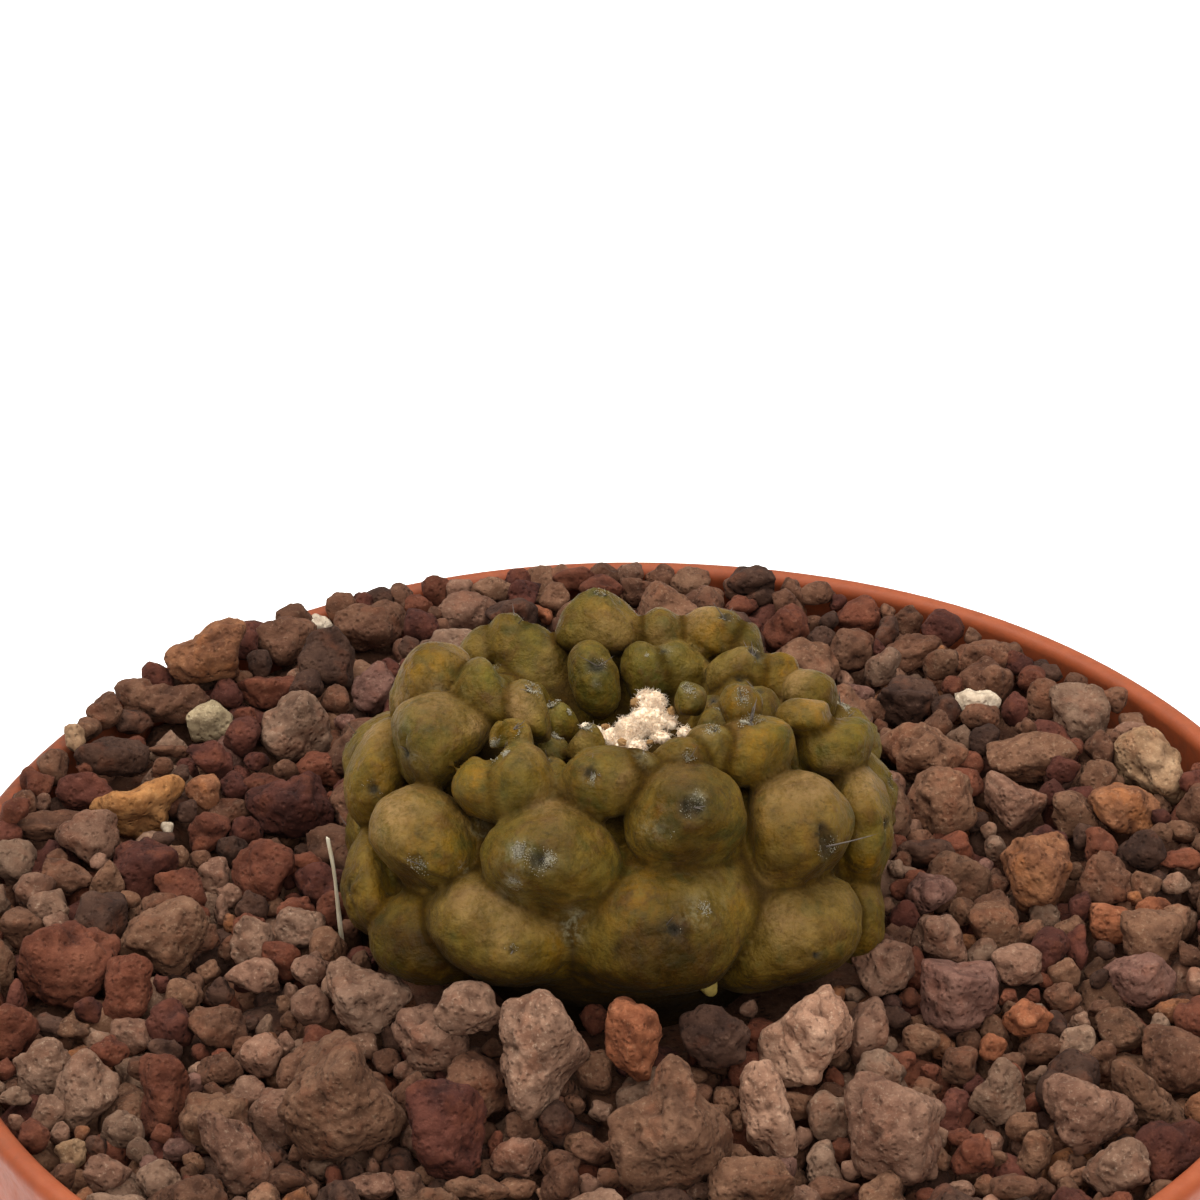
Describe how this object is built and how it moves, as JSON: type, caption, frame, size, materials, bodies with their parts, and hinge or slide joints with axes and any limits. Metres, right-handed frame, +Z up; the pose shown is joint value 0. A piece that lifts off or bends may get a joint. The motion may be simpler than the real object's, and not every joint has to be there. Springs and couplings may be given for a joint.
{
  "type": "potted copiapoa hypogaea",
  "caption": "Small squat olive-brown cactus with knobbly tubercles and a woolly hollow crown, growing in lava gravel in a round tapered plastic nursery pot.",
  "frame": {"origin": "centre of the pot's base, on the surface it stands on", "axes": "+Z up along the pot's axis; the picture looks along +Y and down, so -Y is the front"},
  "size_m": [0.065, 0.065, 0.0683],
  "materials": {
    "cactus_skin": "waxy, olive to yellow brown",
    "cream_stone": "rough",
    "fine_gravel": "rough, porous",
    "lava_brown": "rough, porous",
    "lava_dark": "rough, porous",
    "lava_pale": "rough, porous",
    "lava_red": "rough, porous",
    "perlite": "rough, foamed",
    "pot_plastic": "satin moulded, terracotta orange",
    "straw": "dry fibre",
    "wool": "fine matted wool"
  },
  "bodies": {
    "root": {"cactus_plant": "cactus_skin", "crown_wool": "wool", "dry_straw": "straw", "gravel_bed": "fine_gravel", "lava_stone_01": "lava_dark", "lava_stone_02": "lava_red", "lava_stone_03": "lava_brown", "lava_stone_04": "lava_red", "lava_stone_05": "lava_pale", "lava_stone_06": "lava_pale", "lava_stone_07": "lava_red", "lava_stone_08": "lava_brown", "lava_stone_09": "lava_pale", "lava_stone_10": "lava_pale", "lava_stone_11": "lava_red", "lava_stone_12": "lava_pale", "lava_stone_13": "lava_pale", "lava_stone_14": "lava_brown", "lava_stone_15": "lava_dark", "lava_stone_16": "cream_stone", "lava_stone_17": "lava_dark", "lava_stone_18": "lava_brown", "lava_stone_19": "lava_red", "lava_stone_20": "lava_brown", "lava_stone_21": "lava_pale", "lava_stone_22": "lava_pale", "lava_stone_23": "lava_pale", "lava_stone_24": "lava_pale", "lava_stone_25": "lava_brown", "lava_stone_26": "lava_brown", "lava_stone_27": "lava_pale", "lava_stone_28": "lava_pale", "lava_stone_29": "lava_pale", "lava_stone_30": "lava_red", "lava_stone_31": "lava_brown", "lava_stone_33": "lava_brown", "lava_stone_34": "lava_brown", "lava_stone_35": "lava_pale", "lava_stone_36": "cream_stone", "lava_stone_37": "lava_dark", "lava_stone_38": "lava_dark", "lava_stone_40": "lava_brown", "lava_stone_41": "lava_dark", "lava_stone_42": "lava_pale", "lava_stone_43": "cream_stone", "lava_stone_44": "lava_brown", "lava_stone_45": "lava_red", "lava_stone_46": "lava_brown", "lava_stone_47": "lava_pale", "lava_stone_48": "lava_red", "lava_stone_49": "lava_brown", "lava_stone_50": "lava_pale", "lava_stone_51": "lava_brown", "lava_stone_52": "lava_red", "lava_stone_53": "lava_pale", "perlite_grain_1": "perlite", "perlite_grain_2": "perlite", "pot": "pot_plastic"}
  },
  "joints": []
}
